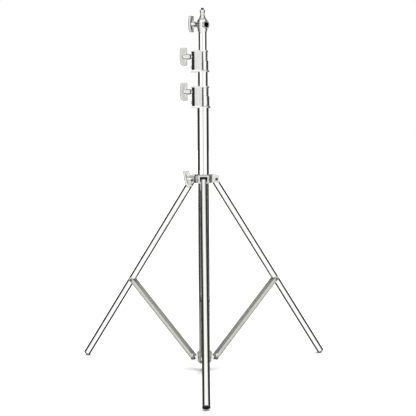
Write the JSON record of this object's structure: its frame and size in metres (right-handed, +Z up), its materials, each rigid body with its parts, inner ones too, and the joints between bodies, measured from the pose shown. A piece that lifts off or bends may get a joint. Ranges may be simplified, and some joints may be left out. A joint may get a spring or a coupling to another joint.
{
  "type": "light stand",
  "caption": "Folding tripod stand: telescoping round tubes in clamp collars with T-knobs, channel braces, rubber feet, and a lamp stud with a cross socket on top.",
  "frame": {"origin": "on the floor under the column axis, where the three rubber feet stand", "axes": "+Z up the column, leg 1 towards -Y, knobs of the two tube collars towards -X"},
  "size_m": [0.8078, 0.7027, 1.125],
  "materials": {
    "polished_tube": "bright polished steel tube",
    "cast_metal": "satin plated die casting",
    "knob_metal": "satin plated die casting",
    "galvanised_channel": "bright galvanised sheet",
    "turned_steel": "turned and plated",
    "fasteners": "zinc plated",
    "black_rubber": "matt moulded rubber",
    "black_nylon": "moulded nylon",
    "white_nylon": "moulded nylon"
  },
  "bodies": {
    "column": {"base_tube": "polished_tube", "bottom_plug": "black_nylon", "base_buffer": "black_rubber", "lower_bracket": "cast_metal", "lower_bracket_screws": "fasteners", "collar_1": "cast_metal", "collar_1_liner": "white_nylon", "collar_1_screw": "fasteners"},
    "riser_1_guide": {"riser_1_guide_bush": "white_nylon"},
    "riser_1": {"riser_1_tube": "polished_tube", "riser_1_foot_plug": "black_nylon", "riser_1_retaining_ring": "fasteners", "riser_buffer": "black_rubber", "collar_2": "cast_metal", "collar_2_liner": "white_nylon", "collar_2_screw": "fasteners"},
    "riser_2_guide": {"riser_2_guide_bush": "white_nylon"},
    "riser_2": {"riser_2_tube": "polished_tube", "riser_2_foot_plug": "black_nylon", "riser_2_retaining_ring": "fasteners", "head": "cast_metal", "stud": "turned_steel", "stud_pin": "fasteners"},
    "knob_1_clamp": {"knob_1_shoe": "white_nylon"},
    "knob_1": {"knob_1": "knob_metal", "knob_1_screw": "fasteners"},
    "knob_2_clamp": {"knob_2_shoe": "white_nylon"},
    "knob_2": {"knob_2": "knob_metal", "knob_2_screw": "fasteners"},
    "spider": {"spider": "cast_metal", "spider_pins": "fasteners"},
    "spider_clamp": {"spider_knob_shoe": "white_nylon"},
    "spider_knob": {"spider_knob": "knob_metal", "spider_knob_screw": "fasteners"},
    "head_clamp": {"head_knob_shoe": "white_nylon"},
    "head_knob": {"head_knob": "knob_metal", "head_knob_screw": "fasteners"},
    "leg_1": {"leg_1_tube": "polished_tube", "leg_1_top_plug": "black_nylon", "leg_1_rubber_foot": "black_rubber"},
    "brace_1": {"brace_1": "galvanised_channel", "brace_1_pins": "fasteners"},
    "leg_2": {"leg_2_tube": "polished_tube", "leg_2_top_plug": "black_nylon", "leg_2_rubber_foot": "black_rubber"},
    "brace_2": {"brace_2": "galvanised_channel", "brace_2_pins": "fasteners"},
    "leg_3": {"leg_3_tube": "polished_tube", "leg_3_top_plug": "black_nylon", "leg_3_rubber_foot": "black_rubber"},
    "brace_3": {"brace_3": "galvanised_channel", "brace_3_pins": "fasteners"}
  },
  "joints": [
    {"name": "stand_fold", "type": "hinge", "parent": "column", "child": "brace_1", "pos_m": [0, -0.038, 0.03425], "axis": [-1, 0, 0], "range_deg": [0, 43]},
    {"name": "leg_1_on_brace", "type": "hinge", "parent": "brace_1", "child": "leg_1", "pos_m": [0, -0.26662, 0.26665], "axis": [-1, 0, 0], "range_deg": [-77.3, 1]},
    {"name": "spider_on_leg_1", "type": "hinge", "parent": "leg_1", "child": "spider", "pos_m": [0, -0.038, 0.59977], "axis": [-1, 0, 0], "range_deg": [-1, 34.3]},
    {"name": "leg_2_on_spider", "type": "hinge", "parent": "spider", "child": "leg_2", "pos_m": [0.03291, 0.019, 0.59977], "axis": [0.5, -0.866, 0], "range_deg": [-34.3, 1]},
    {"name": "brace_2_on_leg", "type": "hinge", "parent": "leg_2", "child": "brace_2", "pos_m": [0.2309, 0.13331, 0.26665], "axis": [0.5, -0.866, 0], "range_deg": [-1, 77.3]},
    {"name": "leg_3_on_spider", "type": "hinge", "parent": "spider", "child": "leg_3", "pos_m": [-0.03291, 0.019, 0.59977], "axis": [0.5, 0.866, 0], "range_deg": [-34.3, 1]},
    {"name": "brace_3_on_leg", "type": "hinge", "parent": "leg_3", "child": "brace_3", "pos_m": [-0.2309, 0.13331, 0.26665], "axis": [0.5, 0.866, 0], "range_deg": [-1, 77.3]},
    {"name": "riser_1_lift", "type": "slide", "parent": "column", "child": "riser_1_guide", "axis": [0, 0, 1], "range_m": [0, 0.69]},
    {"name": "riser_1_swivel", "type": "hinge", "parent": "riser_1_guide", "child": "riser_1", "pos_m": [0, 0, 0.07], "axis": [0, 0, 1], "continuous": true},
    {"name": "riser_2_lift", "type": "slide", "parent": "riser_1", "child": "riser_2_guide", "axis": [0, 0, 1], "range_m": [0, 0.74]},
    {"name": "riser_2_swivel", "type": "hinge", "parent": "riser_2_guide", "child": "riser_2", "pos_m": [0, 0, 0.098], "axis": [0, 0, 1], "continuous": true},
    {"name": "knob_1_feed", "type": "slide", "parent": "column", "child": "knob_1_clamp", "axis": [-1, 0, 0], "range_m": [-0.00002, 0.00127]},
    {"name": "knob_1_turn", "type": "hinge", "parent": "knob_1_clamp", "child": "knob_1", "pos_m": [0, 0, 0.87], "axis": [-1, 0, 0], "range_deg": [0, 360]},
    {"name": "knob_2_feed", "type": "slide", "parent": "riser_1", "child": "knob_2_clamp", "axis": [-1, 0, 0], "range_m": [-0.00002, 0.00127]},
    {"name": "knob_2_turn", "type": "hinge", "parent": "knob_2_clamp", "child": "knob_2", "pos_m": [0, 0, 0.977], "axis": [-1, 0, 0], "range_deg": [0, 360]},
    {"name": "spider_knob_feed", "type": "slide", "parent": "spider", "child": "spider_clamp", "axis": [-0.866, -0.5, 0], "range_m": [-0.00002, 0.00127]},
    {"name": "spider_knob_turn", "type": "hinge", "parent": "spider_clamp", "child": "spider_knob", "pos_m": [0, 0, 0.6025], "axis": [-0.866, -0.5, 0], "range_deg": [0, 360]},
    {"name": "head_knob_feed", "type": "slide", "parent": "riser_2", "child": "head_clamp", "axis": [-0.766, -0.6428, 0], "range_m": [-0.00002, 0.00127]},
    {"name": "head_knob_turn", "type": "hinge", "parent": "head_clamp", "child": "head_knob", "pos_m": [0, 0, 1.073], "axis": [-0.766, -0.6428, 0], "range_deg": [0, 360]}
  ],
  "couplings": [
    {"joint": "leg_1_on_brace", "follows": "stand_fold", "ratio": -1.7745},
    {"joint": "spider_on_leg_1", "follows": "stand_fold", "ratio": 0.77447},
    {"joint": "leg_2_on_spider", "follows": "stand_fold", "ratio": -0.77447},
    {"joint": "brace_2_on_leg", "follows": "stand_fold", "ratio": 1.7745},
    {"joint": "leg_3_on_spider", "follows": "stand_fold", "ratio": -0.77447},
    {"joint": "brace_3_on_leg", "follows": "stand_fold", "ratio": 1.7745},
    {"joint": "knob_1_feed", "follows": "knob_1_turn", "m_per_rad": 0.00019894},
    {"joint": "knob_2_feed", "follows": "knob_2_turn", "m_per_rad": 0.00019894},
    {"joint": "spider_knob_feed", "follows": "spider_knob_turn", "m_per_rad": 0.00019894},
    {"joint": "head_knob_feed", "follows": "head_knob_turn", "m_per_rad": 0.00019894}
  ]
}
